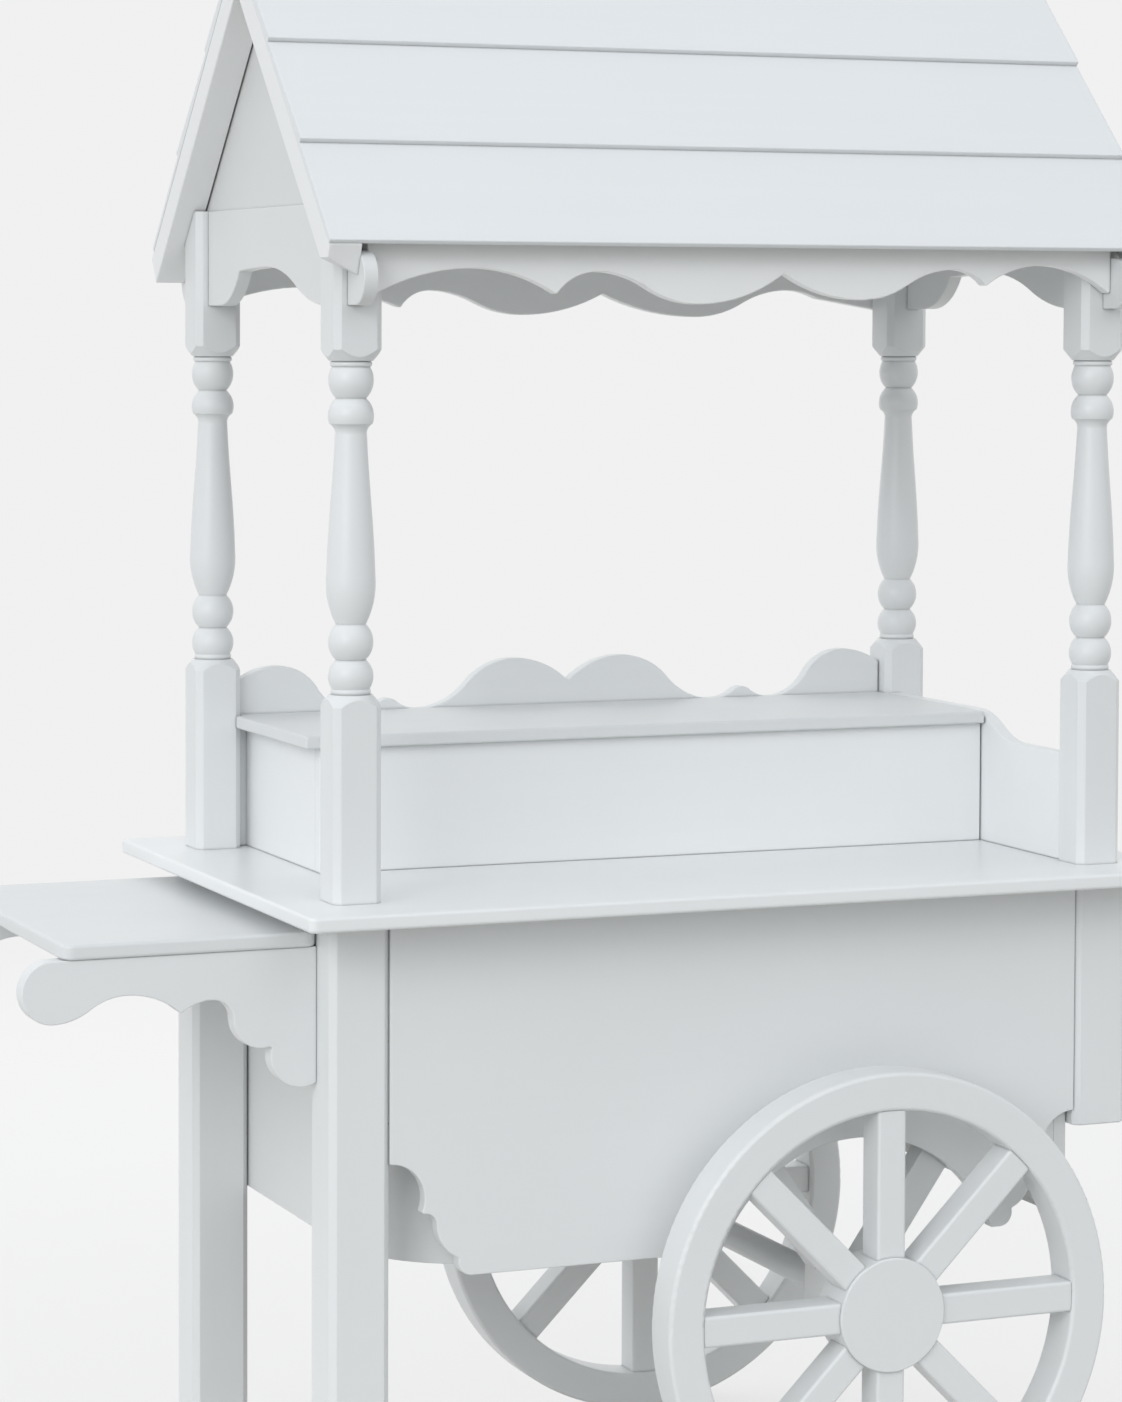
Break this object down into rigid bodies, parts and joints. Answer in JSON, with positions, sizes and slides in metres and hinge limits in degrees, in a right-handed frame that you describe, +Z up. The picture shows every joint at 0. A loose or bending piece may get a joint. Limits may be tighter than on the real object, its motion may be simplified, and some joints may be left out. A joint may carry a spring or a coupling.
{
  "type": "candy cart",
  "caption": "White painted wooden candy cart with a gable roof on turned posts, worktop with riser, scrolled handles and tray, and a pair of spoked wheels.",
  "frame": {"origin": "on the floor, midway between handle tips and the worktop's right end and midway front to back", "axes": "+Z up, +X away from the handles, -Y towards the customer side"},
  "size_m": [1.479, 0.798, 1.9667],
  "materials": {
    "board_paint": "satin white paint",
    "turned_paint": "satin white paint",
    "roof_paint": "satin white paint",
    "axle_paint": "satin white",
    "steel": "zinc plated",
    "nylon": "natural nylon",
    "beech": "bare"
  },
  "bodies": {
    "cart": {"apron_back": "board_paint", "apron_front": "board_paint", "axle": "axle_paint", "axle_block_back": "board_paint", "axle_block_front": "board_paint", "axle_nuts": "steel", "axle_struts_back": "board_paint", "axle_struts_front": "board_paint", "axle_washers": "steel", "back_gallery": "board_paint", "body_back_panel": "board_paint", "body_front_panel": "board_paint", "body_left_panel": "board_paint", "body_right_panel": "board_paint", "corner_cleats": "board_paint", "dowels": "beech", "end_valance_left": "board_paint", "end_valance_right": "board_paint", "gable_left": "board_paint", "gable_right": "board_paint", "handle_arm_back": "board_paint", "handle_arm_front": "board_paint", "leg_back_left": "board_paint", "leg_back_right": "board_paint", "leg_front_left": "board_paint", "leg_front_right": "board_paint", "post_back_left": "turned_paint", "post_back_right": "turned_paint", "post_front_left": "turned_paint", "post_front_right": "turned_paint", "rafters_left": "board_paint", "rafters_right": "board_paint", "ridge_beam": "board_paint", "riser_cleat": "board_paint", "riser_front": "board_paint", "riser_left_end": "board_paint", "riser_top": "board_paint", "roof_back_board_1": "roof_paint", "roof_back_board_2": "roof_paint", "roof_back_board_3": "roof_paint", "roof_front_board_1": "roof_paint", "roof_front_board_2": "roof_paint", "roof_front_board_3": "roof_paint", "screws": "steel", "side_gallery": "board_paint", "top_rail_back": "board_paint", "top_rail_front": "board_paint", "tray": "board_paint", "tray_batten": "board_paint", "worktop": "board_paint"},
    "front_wheel": {"front_wheel_bush": "nylon", "front_wheel_cap": "turned_paint", "front_wheel_hub": "turned_paint", "front_wheel_rim": "turned_paint", "front_wheel_spokes": "turned_paint"},
    "back_wheel": {"back_wheel_bush": "nylon", "back_wheel_cap": "turned_paint", "back_wheel_hub": "turned_paint", "back_wheel_rim": "turned_paint", "back_wheel_spokes": "turned_paint"}
  },
  "joints": [
    {"name": "front_wheel_spin", "type": "hinge", "parent": "cart", "child": "front_wheel", "pos_m": [0.3095, -0.37, 0.297], "axis": [0, 1, 0], "continuous": true},
    {"name": "back_wheel_spin", "type": "hinge", "parent": "cart", "child": "back_wheel", "pos_m": [0.3095, 0.37, 0.297], "axis": [0, 1, 0], "continuous": true}
  ]
}
